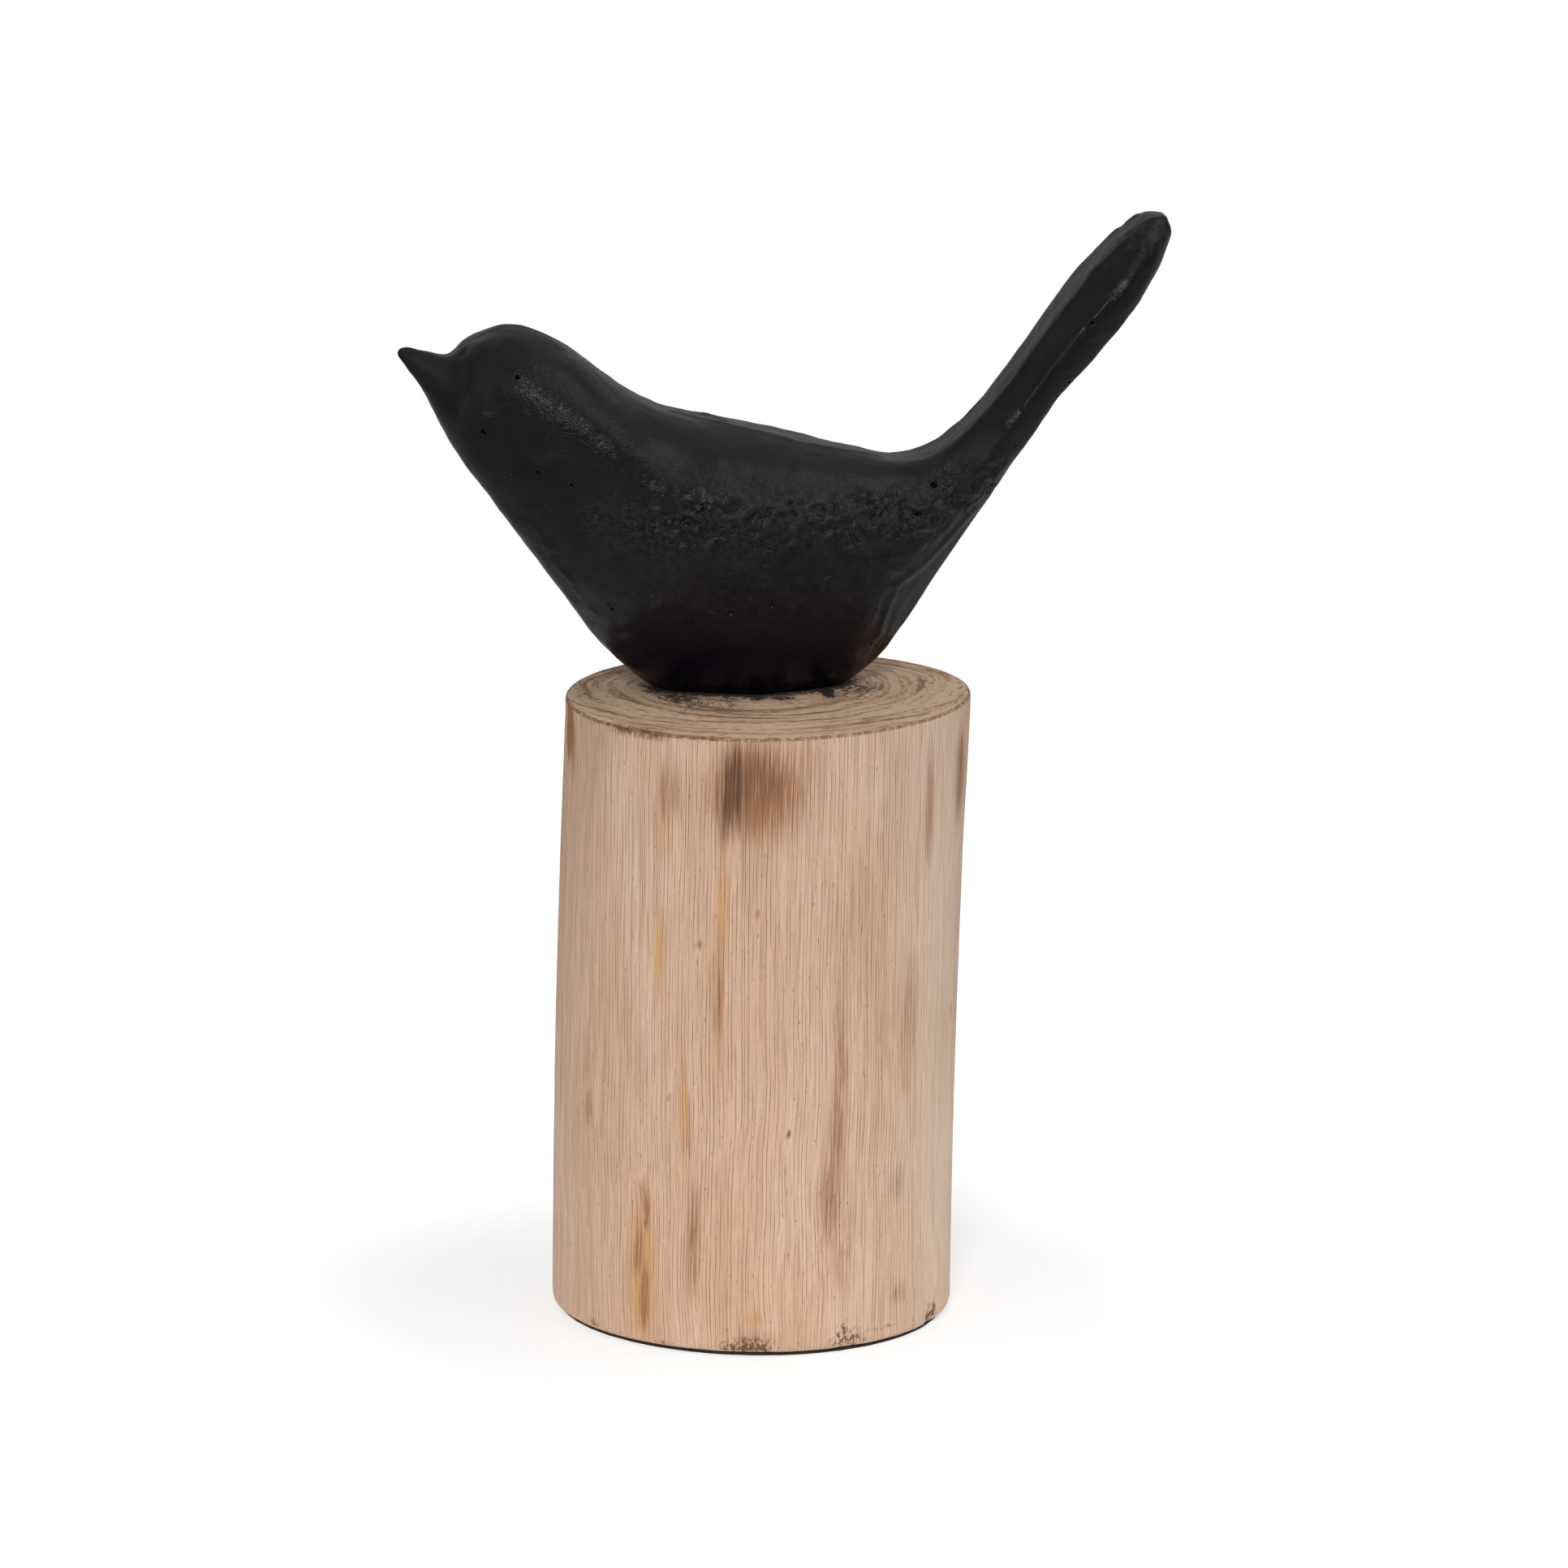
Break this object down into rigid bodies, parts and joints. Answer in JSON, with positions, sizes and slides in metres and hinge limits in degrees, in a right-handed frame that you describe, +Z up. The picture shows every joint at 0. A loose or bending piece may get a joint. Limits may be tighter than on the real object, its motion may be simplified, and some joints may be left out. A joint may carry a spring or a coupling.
{
  "type": "bird figurine",
  "caption": "Cast black bird with a raised beak and a tall upswept tail, standing on an upright round of peeled wood with a thin pad under it, a shelf ornament.",
  "frame": {"origin": "the middle of the underside of the pad, where the figurine rests", "axes": "+Z up along the trunk, the bird looks towards -X and its tail rises towards +X, -Y is the side that the picture shows"},
  "size_m": [0.196, 0.1033, 0.2777],
  "materials": {
    "black_paint": "satin black paint over a hand-modelled rough casting, with pinholes, wrinkles and brush marks",
    "peeled_wood": "bare peeled trunk, fine vertical fibres with brown stains, sawn end grain with growth rings on top",
    "pad": "thin black felt or foam pad"
  },
  "bodies": {
    "root": {"bird": "black_paint", "wood_block": "peeled_wood", "felt_pad": "pad"}
  },
  "joints": []
}
